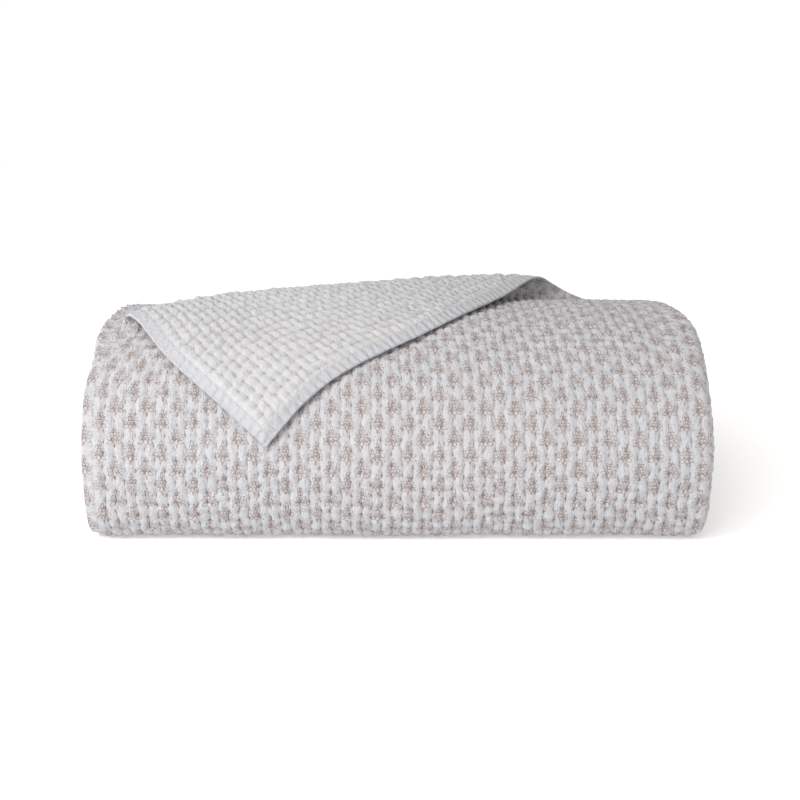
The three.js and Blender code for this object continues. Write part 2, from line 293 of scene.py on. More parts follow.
def along(v):
    """y, z and the outward direction of the middle ply, at v along the stack."""
    y, z, ny, nz = (np.zeros_like(v) for _ in range(4))
    index = np.clip(np.searchsorted(PATH_STARTS, v, side="left") - 1, 0, len(PATH) - 1)
    for number, piece in enumerate(PATH):
        here = index == number
        sign = math.copysign(1.0, piece["end"] - piece["start"])
        rest = v[here] - PATH_STARTS[number]
        if "layer" in piece:
            y[here] = piece["start"] + sign * rest
            z[here] = piece["z"]
            nz[here] = -sign
        else:
            angle = piece["start"] + sign * rest / piece["radius"]
            y[here] = piece["y"] + piece["radius"] * np.cos(angle)
            z[here] = piece["z"] + piece["radius"] * np.sin(angle)
            ny[here] = sign * np.cos(angle)
            nz[here] = sign * np.sin(angle)
    return y, z, ny, nz


def crown_height(y):
    shoulder = np.sqrt(np.clip(1 - ((CROWN_Y - y) / SHOULDER_DEPTH) ** 2, 0, 1))
    back = CROWN_HEIGHT - BACK_DROP * ((y - CROWN_Y) / BACK_DROP_RUN) ** 2
    return np.where(y < CROWN_Y, SHOULDER_BASE + SHOULDER_HEIGHT * shoulder, back)


def inside_front(y, z):
    shoulder = ((CROWN_Y - y) / SHOULDER_DEPTH) ** 2 + ((z - SHOULDER_BASE) / SHOULDER_HEIGHT) ** 2 < 1
    heel = np.maximum(0, FRONT + HEEL_DEPTH - y) / HEEL_DEPTH
    low = np.maximum(0, SHOULDER_BASE - z) / SHOULDER_BASE
    lower = (z > 0) & ((heel**HEEL_POWER + low**HEEL_POWER < 1) | (heel == 0))
    return np.where(z >= SHOULDER_BASE, shoulder, lower)


def front_reaches(angles):
    """How far the bundle's front profile is from its middle, at angles above the horizontal."""
    near = np.zeros_like(angles)
    far = near + 2 * FRONT_OFFSET
    for _ in range(HALVINGS):
        reach = (near + far) / 2
        inside = inside_front(-reach * np.cos(angles), MIDDLE_HEIGHT + reach * np.sin(angles))
        near = np.where(inside, reach, near)
        far = np.where(inside, far, reach)
    return near


FRONT_ANGLES = np.linspace(-math.pi / 2, math.pi / 2, FRONT_PARTS + 1)
FRONT_REACHES = front_reaches(FRONT_ANGLES)


def profile(y, z):
    """Eases the even stack of runs and half circles into the bundle's real profile."""
    rise = z - HALF
    reach = np.interp(np.arctan2(rise, -y), FRONT_ANGLES, FRONT_REACHES) / HALF
    crown = np.where(rise > 0, crown_height(y) - MIDDLE_HEIGHT, MIDDLE_HEIGHT) / HALF
    front = y < 0
    return np.where(front, y * reach, y), MIDDLE_HEIGHT + rise * np.where(front, reach, crown)


def end_drop(x, drop):
    return drop * np.maximum(0, (x - WIDTH / 2 + END_DROP_RUN) / END_DROP_RUN) ** END_DROP_POWER


def settle(x, y, z):
    y, z = profile(y, z)
    drop = end_drop(x, RIGHT_END_DROP) + end_drop(-x, LEFT_END_DROP) + LEAN * x / (WIDTH / 2)
    skew = TOP_SKEW * smooth((y - TOP_SKEW_START[1]) / TOP_SKEW_RUN[1])
    skew = skew * smooth((x - TOP_SKEW_START[0]) / TOP_SKEW_RUN[0]) * smooth((WIDTH / 2 - x) / RIGHT_HELD_RUN)
    spread = 1 + BACK_SPREAD * smooth((y - BACK_SPREAD_START) / BACK_SPREAD_RUN)
    return np.stack([(x - skew) * spread, y, (z - FLOOR_GAP) * (1 - drop / CROWN_HEIGHT)], axis=-1)


def place(u, v, rise):
    """A point of the cloth before its corner is turned. rise is over the middle of its thickness."""
    x, w, nx, nw = across(u)
    y, z, ny, nz = along(v)
    height = w + nw * rise
    y = y + ny * height
    z = z + nz * height
    shift = LEFT_HEM_SHIFT * (1 - smooth(u / LEFT_HEM_RUN))
    on_top = np.where(z > HALF, smooth((y - LEFT_HEM_SHIFT_START) / LEFT_HEM_SHIFT_RUN), 0)
    return settle(x + nx * rise + shift * on_top, y, z)


# Lengths on the top ply, from its end hem over the crown, down the front and on through the layers
LENGTH_V = np.arange(0.0, PATH_STARTS[-1] + LENGTH_STEP, LENGTH_STEP)
LENGTH_LINE = place(np.full_like(LENGTH_V, TOP_PLY / 2), LENGTH_V, np.zeros_like(LENGTH_V))
LENGTH_S = np.concatenate([[0.0], np.cumsum(np.linalg.norm(np.diff(LENGTH_LINE, axis=0), axis=1))])


def path_at(s):
    return np.where(s <= 0, s, np.interp(s, LENGTH_S, LENGTH_V))


def length_at(v):
    return float(np.interp(v, LENGTH_V, LENGTH_S))


FOLD_SIN = math.sin(FOLD_ANGLE)
FOLD_COS = math.cos(FOLD_ANGLE)


def fold_line(u):
    bow = np.sin(math.pi * np.clip((u - FOLD_BOW_START) / (FOLD_ON_END_HEM - FOLD_BOW_START), 0, 1)) ** 2
    return FOLD_ON_SIDE_HEM * (1 - u / FOLD_ON_END_HEM) + FOLD_BOW * bow


def roll_radius(u):
    part = np.clip(u / FOLD_ON_END_HEM, 0, 1)
    return ROLL_RADIUS_SIDE + (ROLL_RADIUS_END - ROLL_RADIUS_SIDE) * part**ROLL_FLARE


def edge_distance(u, s):
    return np.minimum(np.minimum(u, s), np.minimum(CLOTH_WIDTH - u, CLOTH_END - s))


def body_half(u, s):
    """Half of the cloth's thickness, thin at the hems, without the rounding of its rim."""
    edge = np.maximum(0, edge_distance(u, s))
    return HEM_THICKNESS / 2 + (HALF_PLY - HEM_THICKNESS / 2) * smooth(edge / HEM_TAPER)


def half_thickness(u, s):
    """Half of the cloth's thickness, round at the very edge of its hems."""
    edge = np.maximum(0, edge_distance(u, s))
    rim = HEM_THICKNESS / 2
    rounding = np.sqrt(np.clip(1 - (1 - np.minimum(edge, rim) / rim) ** 2, 0, 1))
    return body_half(u, s) * rounding


def cloth_point(u, s, rise):
    """A point of the cloth with its corner turned back, at u across and s along it."""
    behind = (fold_line(u) - s) * FOLD_COS
    radius = roll_radius(u)
    half = math.pi * radius / 2
    flat = (u > TOP_PLY) | (behind <= -half) | (s > FOLD_ON_SIDE_HEM + 2 * half)
    turn = np.clip((behind + half) / radius, 0, math.pi)
    back = -half + radius * np.sin(turn) - rise * np.sin(turn)
    height = radius * (1 - np.cos(turn)) + rise * np.cos(turn)
    rest = HALF_PLY + FLAP_GAP + body_half(u, s)
    run = SETTLE_RUN_SIDE + (SETTLE_RUN_END - SETTLE_RUN_SIDE) * np.clip(u / FOLD_ON_END_HEM, 0, 1)
    settled = rest + (2 * radius - rest) * np.exp(-(((behind - half) / run) ** 2)) - rise
    past = behind > half
    back = np.where(past, -behind, back)
    height = np.where(past, settled, height)
    foot_u = np.where(flat, u, u + behind * FOLD_SIN - back * FOLD_SIN)
    foot_s = np.where(flat, s, s + behind * FOLD_COS - back * FOLD_COS)
    return place(foot_u, path_at(foot_s), np.where(flat, rise, height))


CLOTH_END = length_at(PATH_STARTS[-1])
FRONT_END = length_at(PATH_STARTS[2])
FRONT_S = np.arange(0.0, FRONT_END, LENGTH_STEP)
FRONT_FACE = cloth_point(np.full_like(FRONT_S, TOP_PLY / 2), FRONT_S, np.full_like(FRONT_S, HALF_PLY))
BARE_TOP = cloth_point(np.full_like(FRONT_S, TOP_PLY), FRONT_S, np.full_like(FRONT_S, HALF_PLY))
# The top's rim is where the front has rounded over to the slope of the camera's view
RIM_HEIGHT = BARE_TOP[:, 2] * math.cos(CAMERA_TILT) + BARE_TOP[:, 1] * math.sin(CAMERA_TILT)
RIM_S = FRONT_S[np.argmax(RIM_HEIGHT)]
BUNDLE_MIDDLE = np.array([0.0, FRONT_FACE[:, 1].min() - cad_box[0].y, 0.0])


def scatter(a, b):
    """A number from 0 to 1 that is always the same for two whole numbers."""
    value = np.sin(a * SCATTER_RATES[0] + b * SCATTER_RATES[1]) * SCATTER_SIZE
    return value - np.floor(value)


def wave(row, s, length, seed):
    """A soft irregular wave along a row, from -1 to 1."""
    long = np.sin(2 * math.pi * (s / length + scatter(row, seed)))
    short = np.sin(2 * math.pi * (s / (length * SHORT_WAVE_LENGTH) + scatter(row, seed + 1)))
    return LONG_WAVE_SHARE * long + SHORT_WAVE_SHARE * short


def row_shift(row, s):
    """How far a stitched row wanders sideways."""
    slow = ROW_WOBBLE * wave(row, s, ROW_WOBBLE_LENGTH, ROW_SEED)
    return slow + STITCH_WOBBLE * wave(row, s, STITCH_WOBBLE_LENGTH, STITCH_SEED)


def stitch_phase(row):
    """Where a row's stitches start: near its neighbour's, with a slow drift and a hand's jitter."""
    drift = sum(size * np.sin(row * rate + start) for size, rate, start in STITCH_DRIFTS)
    return STITCH_PITCH * (drift + START_JITTER * (scatter(row, START_SEED) - 0.5))


def stitch_place(row, number, side):
    """Where along the cloth a stitch is, on the printed or the plain side."""
    jitter = PLACE_JITTER * (scatter(row, number * PLACE_SEED_STEP + PLACE_SEED) - 0.5)
    return stitch_phase(row) + STITCH_PITCH * (number + side + jitter)


def pinch(row, s, side):
    """1 at a stitch of the row, and falling to 0 away from it."""
    nearest = np.round((s - stitch_phase(row)) / STITCH_PITCH - side)
    total = 0.0
    for step in (-1, 0, 1):
        offset = (s - stitch_place(row, nearest + step, side)) / DIMPLE_LENGTH
        total = total + np.exp(-(offset**2))
    return np.minimum(total, 1.0)


def quilting(u, s, side):
    """How far the face lies below its crest, and how far the rows wander sideways, at (u, s)."""
    relief = PRINTED_RELIEF if side == PRINTED else REVERSE_RELIEF
    place_in_rows = (u - HEM_BAND) / ROW_PITCH
    row = np.floor(place_in_rows + TINY)
    t = np.clip(place_in_rows - row, 0, 1)
    pillow = np.sin(math.pi * t) ** PUFF_ROUNDNESS
    mix = smooth(t)
    here, after = pinch(row, s, side), pinch(row + 1, s, side)
    valley = relief["row"] + relief["dimple"] * (here * (1 - mix) + after * mix)
    uneven = PUFF_UNEVENNESS * wave(row, s, PUFF_UNEVENNESS_LENGTH, PUFF_SEED)
    crest = relief["crest"] * (here * (1 - t) + after * t) + uneven
    inside = smooth((edge_distance(u, s) - HEM_BAND) / QUILTING_RUN)
    flattened = 1 - PRESSED_SHARE * pressed(s) * (s < FRONT_END + RUN)
    depth = (valley * (1 - pillow) + crest * pillow) * inside * flattened
    depth = depth * (1 - STRETCHED_SHARE * stretched(u, s) * (side == PRINTED))
    shift = (row_shift(row, s) * (1 - t) + row_shift(row + 1, s) * t) * inside
    return depth + hem_relief(u, s), shift


def pressed(s):
    """1 under the bundle's own weight at the foot of the front, and 0 higher up."""
    return smooth((s - FRONT_END + PRESSED_START) / PRESSED_RUN)


def stretched(u, s):
    """1 where the outer ply is drawn tight: round the right-hand turn and over the top's rim."""
    turn = smooth((u - TOP_PLY) / STRETCHED_RUN) * (u < RIGHT_TURN_END + STRETCHED_RUN)
    rim = np.exp(-(((s - RIM_S) / STRETCHED_RUN) ** 2))
    return np.maximum(turn, rim)


def hem_relief(u, s):
    """The hem's seam line and its soft crosswise puckers, as a depth below the face."""
    relief = 0.0
    for edge, other, seed in ((u, s, SIDE_HEM_SEED), (s, u, END_HEM_SEED)):
        within = smooth((other - HEM_BAND / 2) / HEM_BAND)
        seam = np.exp(-(((edge - HEM_BAND) / SEAM_WIDTH) ** 2))
        band = smooth((HEM_BAND - edge) / (2 * SEAM_WIDTH)) * smooth(edge / (2 * SEAM_WIDTH))
        pucker = 0.5 + 0.5 * wave(np.zeros_like(other), other, PUCKER_PITCH, seed)
        line = SEAM_DEPTH * seam * (SEAM_LEAST + SEAM_GAIN * pucker)
        relief = relief + within * (line + PUCKER_HEIGHT * band * pucker)
    return relief


def unevenness(u, s):
    """Slow swells of the outer ply, as a height."""
    length, bend, bend_length = SWELL_ACROSS
    across_swell = np.sin(u / length + bend * np.sin(s / bend_length))
    length, bend, bend_length = SWELL_ALONG
    along_swell = np.sin(s / length + bend * np.sin(u / bend_length + SWELL_START))
    return SWELL_HEIGHT * (across_swell * along_swell)


def face_rise(u, s, side):
    """The face's height over the middle of the cloth, its rows' sideways shift and their depth."""
    depth, shift = quilting(u, s, side)
    half = half_thickness(u, s)
    face = np.maximum(half - depth, THINNEST * half)
    swell = unevenness(u, s) * (1 - pressed(s)) * (side == PRINTED)
    rise = face + swell * smooth(edge_distance(u, s) / (2 * HEM_BAND))
    return np.where(half < TINY, 0.0, rise), shift, depth


def face_point(u, s, side):
    """A point on one face, its place across the cloth, and its depth as a share of the deepest."""
    rise, shift, depth = face_rise(u, s, side)
    moved = u + shift
    return cloth_point(moved, s, rise if side == PRINTED else -rise), moved, depth / DEEPEST


def steps(start, end, size):
    """Even steps from start to end, of about the given size, without the start."""
    count = max(1, round((end - start) / size))
    return list(np.linspace(start, end, count + 1)[1:])


# Places of the mesh's columns from one stitched row to the next, as a share of the pitch
CHANNEL = np.array([0.0, 0.16, 0.5, 0.84])
# Places of its outermost rows and columns, in from the cloth's edge
RIM = [0.0, 0.0005, 0.0013, 0.0023, 0.0050, 0.0085, 0.0115, 0.0134]
# Steps along the pieces of PATH that follow the front, by their number, and the turns seen at the back
LAYER_STEPS = {2: 0.022, 3: 0.0048, 4: 0.022, 5: 0.012, 6: 0.022, 7: 0.0048, 8: 0.022, 9: 0.014, 10: 0.022}
BACK_TURNS = (3, 7)
TURNS = (
    (TOP_PLY - TURN_LEAD, RIGHT_TURN_END + TURN_MARGIN),
    (LOWER_PLY_END - TURN_MARGIN, LEFT_TURN_END + TURN_MARGIN),
)
ROLL_END = FOLD_ON_SIDE_HEM + FOLD_BOW + ROLL_RADIUS_END


def columns(fine, row_step, turn_step, coarse_step):
    """Places across the cloth, dense where fine(u) is true and at the two turns."""
    last_row = math.floor((LEFT_TURN_END + TURN_LEAD - HEM_BAND) / ROW_PITCH)
    number = np.arange(len(CHANNEL) * last_row + 1)
    grid = HEM_BAND + (number // len(CHANNEL) + CHANNEL[number % len(CHANNEL)]) * ROW_PITCH
    kept = number % coarse_step == 0
    kept |= fine(grid) & (number % row_step == 0)
    for low, high in TURNS:
        kept |= (grid >= low) & (grid <= high) & (number % turn_step == 0)
    tail = [CLOTH_WIDTH - HEM_BAND, *(CLOTH_WIDTH - d for d in reversed(RIM))]
    return np.array(RIM + list(grid[kept]) + steps(grid[-1], tail[0], INNER_PLY_STEP)[:-1] + tail)


def printed_shows(u, s):
    """Where the printed face of the top and front can be seen: not on the flap, nor under it."""
    behind = (fold_line(u) - s) * FOLD_COS
    strip = UNDER_ROLL_SIDE + UNDER_ROLL_GAIN * np.clip(u / FOLD_ON_END_HEM, 0, 1) ** 2
    turned = -behind
    for _ in range(COVER_ROUNDS):
        turned = (s - fold_line(u - 2 * turned * FOLD_SIN)) * FOLD_COS / (2 * FOLD_COS**2 - 1)
    over = np.minimum(u - 2 * turned * FOLD_SIN, s - 2 * turned * FOLD_COS)
    hidden = (behind > strip) | ((behind < -strip) & (over > 2 * HEM_BAND))
    return (u < RIGHT_TURN_END + TURN_MARGIN) & ~hidden


def reverse_shows(u, s):
    """Where the plain reverse can be seen: on the flap and its roll."""
    return (fold_line(u) - s) * FOLD_COS > -math.pi * roll_radius(u) / 2 - ROLL_MARGIN


def row_columns(s, printed):
    """The places across the cloth of one row of points."""
    piece = int(np.searchsorted(PATH_STARTS, float(path_at(np.array(s))), side="left")) - 1
    if s == 0:
        return columns(lambda u: u < TOP_PLY, *SHOWN_GRID)
    if printed and s <= FRONT_END:
        return columns(lambda u: printed_shows(u, s), *SHOWN_GRID)
    if printed and piece in BACK_TURNS:
        return columns(lambda u: u < RIGHT_TURN_END, *BACK_GRID)
    if printed or s >= CLOTH_END:
        return columns(lambda u: u < 2 * HEM_BAND, *BACK_GRID)
    if s < ROLL_END:
        return columns(lambda u: reverse_shows(u, s), *FLAP_GRID)
    return columns(lambda u: u < 2 * HEM_BAND, *HIDDEN_GRID)


def row_places():
    """Places along the cloth: fine over the top and the front, coarser where the layers hide it."""
    places = [*RIM, HEM_BAND]
    places += steps(HEM_BAND, ROLL_END, TOP_STEP) + steps(ROLL_END, FRONT_END, FRONT_STEP)
    for number, size in LAYER_STEPS.items():
        start, end = length_at(PATH_STARTS[number]), length_at(PATH_STARTS[number + 1])
        if number == len(PATH) - 1:
            places += steps(start, end - HEM_BAND, size)
            places += [end - d for d in reversed(RIM)]
        else:
            places += steps(start, end, size)
    return places


class SheetMesh:
    """Collects the two faces' points and welds them where the hem's rim brings them together."""

    def __init__(self):
        self.points = []
        self.cloth = []
        self.depths = []
        self.count = 0
        self.faces = []
        self.sides = []

    def row(self, s, places, side):
        points, moved, depth = face_point(places, np.full_like(places, s), side)
        self.points.append(points)
        self.depths.append(depth)
        self.cloth.append(np.stack([moved, np.full_like(places, s)], axis=-1))
        first = self.count
        self.count += len(places)
        return first

    def strip(self, lower, upper, side):
        """Joins two rows of points, given as (first point, columns)."""
        (a, low), (b, high) = lower, upper
        flip = side == PLAIN
        if len(low) == len(high) and np.allclose(low, high):
            for k in range(len(low) - 1):
                quad = (a + k, b + k, b + k + 1, a + k + 1)
                self.add(quad[::-1] if flip else quad, side)
            return
        i = j = 0
        while i < len(low) - 1 or j < len(high) - 1:
            done_high = j == len(high) - 1
            if done_high or (i < len(low) - 1 and low[i] + low[i + 1] <= high[j] + high[j + 1]):
                corner = (a + i, b + j, a + i + 1)
                i += 1
            else:
                corner = (a + i, b + j, b + j + 1)
                j += 1
            self.add(corner[::-1] if flip else corner, side)

    def add(self, corners, side):
        self.faces.append(corners)
        self.sides.append(side)

    def finish(self, name, materials):
        points = np.concatenate(self.points)
        cloth = np.concatenate(self.cloth)
        rounded = np.round(points * WELDS_PER_METRE)
        _, first, index = np.unique(rounded, axis=0, return_index=True, return_inverse=True)
        index = index.reshape(-1)
        faces, sides, places = [], [], []
        for corners, side in zip(self.faces, self.sides):
            welded = [int(index[c]) for c in corners]
            kept = [k for k in range(len(welded)) if welded[k] != welded[k - 1]]
            if len(kept) > 2:
                faces.append([welded[k] for k in kept])
                sides.append(side)
                places += [cloth[corners[k]] for k in kept]
        thing = mesh_object(name, points[first], faces, np.array(places), sides, materials)
        # Each point's depth, which the cotton's materials use to paint shade in the stitched rows and dimples
        valley = thing.data.attributes.new("valley", "FLOAT", "POINT")
        valley.data.foreach_set("value", np.concatenate(self.depths)[first].astype(np.float32))
        return thing


def mesh_object(name, points, faces, places, sides, materials):
    """A smooth mesh that stays on or over the floor. places holds the cloth's (u, s) for each corner."""
    mesh = bpy.data.meshes.new(name)
    on_floor = points - BUNDLE_MIDDLE
    on_floor[:, 2] = np.maximum(on_floor[:, 2], 0.0)
    mesh.from_pydata(on_floor.tolist(), [], faces)
    layer = mesh.uv_layers.new(name="cloth")
    layer.data.foreach_set("uv", np.asarray(places, dtype=np.float32).ravel())
    for material in materials:
        mesh.materials.append(material)
    mesh.polygons.foreach_set("material_index", [0 if side == PRINTED else 1 for side in sides])
    mesh.polygons.foreach_set("use_smooth", [True] * len(faces))
    mesh.update()
    thing = bpy.data.objects.new(name, mesh)
    bpy.context.scene.collection.objects.link(thing)
    return thing


def build_cloth(materials):
    sheet = SheetMesh()
    for side in (PRINTED, PLAIN):
        before = None
        for s in row_places():
            places = row_columns(s, side == PRINTED)
            now = (sheet.row(s, places, side), places)
            if before is not None:
                sheet.strip(before, now, side)
            before = now
    return sheet.finish("quilt_cloth", materials)


class Tree:
    """Short ways to add nodes to a material and to link them."""

    def __init__(self, name):
        self.material = bpy.data.materials.new(name)
        self.material.use_nodes = True
        self.tree = self.material.node_tree
        self.shader = self.tree.nodes["Principled BSDF"]

    def node(self, kind, **settings):
        made = self.tree.nodes.new(kind)
        for key, value in settings.items():
            setattr(made, key, value)
        return made

    def feed(self, socket, value):
        if isinstance(value, bpy.types.NodeSocket):
            self.tree.links.new(value, socket)
        else:
            socket.default_value = value

    def math(self, operation, *values, clamp=False):
        made = self.node("ShaderNodeMath", operation=operation, use_clamp=clamp)
        for socket, value in zip(made.inputs, values):
            self.feed(socket, value)
        return made.outputs[0]

    def vector(self, operation, *values):
        made = self.node("ShaderNodeVectorMath", operation=operation)
        for socket, value in zip(made.inputs, values):
            self.feed(socket, value)
        return made.outputs["Value" if operation == "DOT_PRODUCT" else "Vector"]

    def combine(self, x, y, z=0.0):
        made = self.node("ShaderNodeCombineXYZ")
        for socket, value in zip(made.inputs, (x, y, z)):
            self.feed(socket, value)
        return made.outputs[0]

    def split(self, vector):
        made = self.node("ShaderNodeSeparateXYZ")
        self.feed(made.inputs[0], vector)
        return made.outputs

    def noise(self, vector, scale, detail=2.0, roughness=0.5):
        made = self.node("ShaderNodeTexNoise")
        self.feed(made.inputs["Vector"], vector)
        made.inputs["Scale"].default_value = scale
        made.inputs["Detail"].default_value = detail
        made.inputs["Roughness"].default_value = roughness
        return made

    def ramp(self, value, low, high):
        """0 below low, 1 above high, and soft between them."""
        made = self.node("ShaderNodeMapRange", interpolation_type="SMOOTHSTEP")
        self.feed(made.inputs["Value"], value)
        made.inputs["From Min"].default_value = low
        made.inputs["From Max"].default_value = high
        return made.outputs["Result"]

    def mix(self, factor, a, b):
        made = self.node("ShaderNodeMix", data_type="RGBA")
        self.feed(made.inputs["Factor"], factor)
        self.feed(made.inputs["A"], a)
        self.feed(made.inputs["B"], b)
        return made.outputs["Result"]


# The printed flower, in millimetres from its middle: pointed petals of the right half, and those on
# the middle line. Angles are anticlockwise from a petal that points straight to the side.
PETALS = [
    {"x": 0.0, "y": 10.4, "angle": 90, "length": 3.2, "width": 1.4},
    {"x": 1.9, "y": 6.0, "angle": 66, "length": 2.8, "width": 1.3},
    {"x": 0.0, "y": 2.4, "angle": 90, "length": 3.2, "width": 1.7},
    {"x": 4.0, "y": 1.6, "angle": 38, "length": 3.2, "width": 1.6},
    {"x": 6.3, "y": -2.7, "angle": 14, "length": 3.8, "width": 1.8},
    {"x": 2.7, "y": -3.6, "angle": -6, "length": 2.4, "width": 1.5},
    {"x": 5.4, "y": -7.2, "angle": -18, "length": 3.9, "width": 1.8},
    {"x": 0.0, "y": -7.6, "angle": 90, "length": 3.2, "width": 2.2},
    {"x": 0.0, "y": -12.2, "angle": 90, "length": 1.6, "width": 0.7},
]
PETAL_POWER = 1.4
REPEAT = 38.1
FLOWER_COLUMN = REPEAT / 2
FLOWER_START = (13.5, 23.0)
LINE_HALF_WIDTH = 0.70
LINE_CORE = 0.4
HEART_REACH = (-0.40, -0.80)
HEART_EDGE = (1.05, 0.95)
FILL_EDGE = (1.02, 0.90)
INK_FILL = 0.09
# Noises that bend the print, by scale and size, and those that wear it. Scales are per millimetre.
PRINT_BENDS = ((0.45, 1.3), (0.09, 4.0))
PRINT_WEAR = (
    {"scale": 0.16, "detail": 2.0, "shows": (0.25, 0.62), "gain": 0.45, "least": 0.50},
    {"scale": 1.6, "detail": 1.0, "shows": (0.30, 0.55), "gain": 0.35, "least": 0.65},
)

# Colours
COTTON = (0.508, 0.512, 0.536, 1.0)
REVERSE = (0.515, 0.517, 0.530, 1.0)
HEM_TONE = (0.450, 0.459, 0.488, 1.0)
INK = (0.228, 0.156, 0.130, 1.0)
THREAD = (0.225, 0.162, 0.142, 1.0)
THREAD_LIGHTER = 1.7
THREAD_PATCHES = {"scale": 0.9, "shows": (0.3, 0.7)}
# Painted shade: the colour the cotton is darkened towards deep in the stitched rows and dimples, and along
# the hem's seam line
VALLEY_SHADE = (0.318, 0.274, 0.262, 1.0)
VALLEY_SHADE_SHARE = 0.60
VALLEY_SHADE_SHOWS = (0.30, 0.95)
PATCHES = {"scale": 0.035, "detail": 3.0, "shows": (0.35, 0.70), "darker": 0.94}

# The cotton's small relief and the hems' looks. Places on the cloth are in millimetres, as for the
# print, and the bump's distance is in metres.
MILLIMETRES = 1000.0
HEM_EDGE = MILLIMETRES * HEM_BAND
HEM_FADE = 1.5
# Painted shade along the hem's seam line: how far from the seam it fades out, and how strong it is
SEAM_SHADE_LINE = (1.1, 0.3)
SEAM_SHADE_SHARE = 0.30
GATHER_FADE = 2.5
GATHER_RATE = 0.52
GATHER_BEND = {"scale": 0.05, "size": 7.0}
GATHER_HEIGHT = 0.50
WEAVE_SCALE = 0.9
WEAVE_DISTORTION = 0.6
WEAVE_HEIGHT = 0.06
CRINKLE_STRETCH = (1.0, 0.55, 1.0)
CRINKLE = {"scale": 0.20, "detail": 3.5, "roughness": 0.66}
CRINKLE_HEIGHT = 2.7
CREASES = ((0.11, 0.42), (0.21, 0.28))
CREASE_WIDTH = 0.055
BUMP_STRENGTH = 0.85
BUMP_DISTANCE = 0.0018
PRINTED_CRINKLING = 1.0
REVERSE_CRINKLING = 0.65


def cloth_coordinates(t):
    """The place on the flat cloth in millimetres."""
    place_node = t.node("ShaderNodeUVMap", uv_map="cloth")
    return t.vector("MULTIPLY", place_node.outputs[0], (MILLIMETRES, MILLIMETRES, 0.0))


def flower_point(t, cloth):
    """The place in the right half of a flower, from the flower's middle."""
    moved = cloth
    for scale, size in PRINT_BENDS:
        waver = t.vector("SUBTRACT", t.noise(cloth, scale, 1.0).outputs["Color"], (0.5, 0.5, 0.5))
        moved = t.vector("ADD", moved, t.vector("MULTIPLY", waver, (size, size, 0.0)))
    split = t.split(moved)
    across_part = t.math("DIVIDE", t.math("SUBTRACT", split[0], FLOWER_START[0]), FLOWER_COLUMN)
    column = t.math("FLOOR", across_part)
    x = t.math("MULTIPLY", t.math("SUBTRACT", t.math("SUBTRACT", across_part, column), 0.5), FLOWER_COLUMN)
    drop = t.math("MULTIPLY", t.math("FLOORED_MODULO", column, 2.0), 0.5)
    from_start = t.math("SUBTRACT", split[1], FLOWER_START[1])
    along_part = t.math("ADD", t.math("DIVIDE", from_start, REPEAT), drop)
    y = t.math("MULTIPLY", t.math("SUBTRACT", 0.5, t.math("FRACT", along_part)), REPEAT)
    return t.combine(t.math("ABSOLUTE", x), y)


def petal_ink(t, point, petal):
    """A petal's drawn line with its dark heart, and its whole area."""
    angle = math.radians(petal["angle"])
    direction = (math.cos(angle), math.sin(angle), 0.0)
    normal = (-math.sin(angle), math.cos(angle), 0.0)
    from_middle = t.vector("SUBTRACT", point, (petal["x"], petal["y"], 0.0))
    length = t.math("DIVIDE", t.vector("DOT_PRODUCT", from_middle, direction), petal["length"])
    side = t.math("DIVIDE", t.vector("DOT_PRODUCT", from_middle, normal), petal["width"])
    rounded = t.math("POWER", t.math("ABSOLUTE", side), PETAL_POWER)
    edge = t.math("ADD", rounded, t.math("MULTIPLY", length, length))
    distance = t.math("ABSOLUTE", t.math("SUBTRACT", edge, 1.0))
    half_width = LINE_HALF_WIDTH / petal["width"]
    outline = t.ramp(distance, half_width, LINE_CORE * LINE_HALF_WIDTH / petal["width"])
    heart = t.math("MULTIPLY", t.ramp(length, *HEART_REACH), t.ramp(edge, *HEART_EDGE))
    return t.math("MAXIMUM", outline, heart), t.ramp(edge, *FILL_EDGE)


def ink_left(t, cloth, wear):
    """The share of the ink that a kind of wear leaves."""
    whole = t.ramp(t.noise(cloth, wear["scale"], wear["detail"]).outputs["Fac"], *wear["shows"])
    return t.math("MULTIPLY_ADD", whole, wear["gain"], wear["least"])


def flower_ink(t, cloth):
    """How much ink the print leaves: 1 on a line, less inside a petal and 0 on bare cotton."""
    point = flower_point(t, cloth)
    lines = 0.0
    fills = 0.0
    for petal in PETALS:
        line, fill = petal_ink(t, point, petal)
        lines = t.math("MAXIMUM", lines, line)
        fills = t.math("MAXIMUM", fills, fill)
    inked = t.math("MAXIMUM", lines, t.math("MULTIPLY", fills, INK_FILL))
    left = t.math("MULTIPLY", *(ink_left(t, cloth, wear) for wear in PRINT_WEAR))
    return t.math("MULTIPLY", inked, left, clamp=True)


def hem_gathers(t, cloth):
    """Crosswise puckers on the hem bands."""
    split = t.split(cloth)
    waver = t.noise(cloth, GATHER_BEND["scale"], 1.0).outputs["Fac"]
    bend = t.math("MULTIPLY", waver, GATHER_BEND["size"])
    total = 0.0
    for edge, other in ((0, 1), (1, 0)):
        band = t.ramp(split[edge], HEM_EDGE, HEM_EDGE - GATHER_FADE)
        turn = t.math("ADD", t.math("MULTIPLY", split[other], GATHER_RATE), bend)
        total = t.math("ADD", total, t.math("MULTIPLY", band, t.math("SINE", turn)))
    return total


def woven_threads(t, cloth):
    """The threads of the weave, as two sets of soft bands that cross."""
    sets = []
    for axis in ("X", "Y"):
        bands = t.node("ShaderNodeTexWave", wave_type="BANDS", bands_direction=axis, wave_profile="SIN")
        t.feed(bands.inputs["Vector"], cloth)
        bands.inputs["Scale"].default_value = WEAVE_SCALE
        bands.inputs["Distortion"].default_value = WEAVE_DISTORTION
        sets.append(bands.outputs["Fac"])
    return t.math("MULTIPLY", *sets)


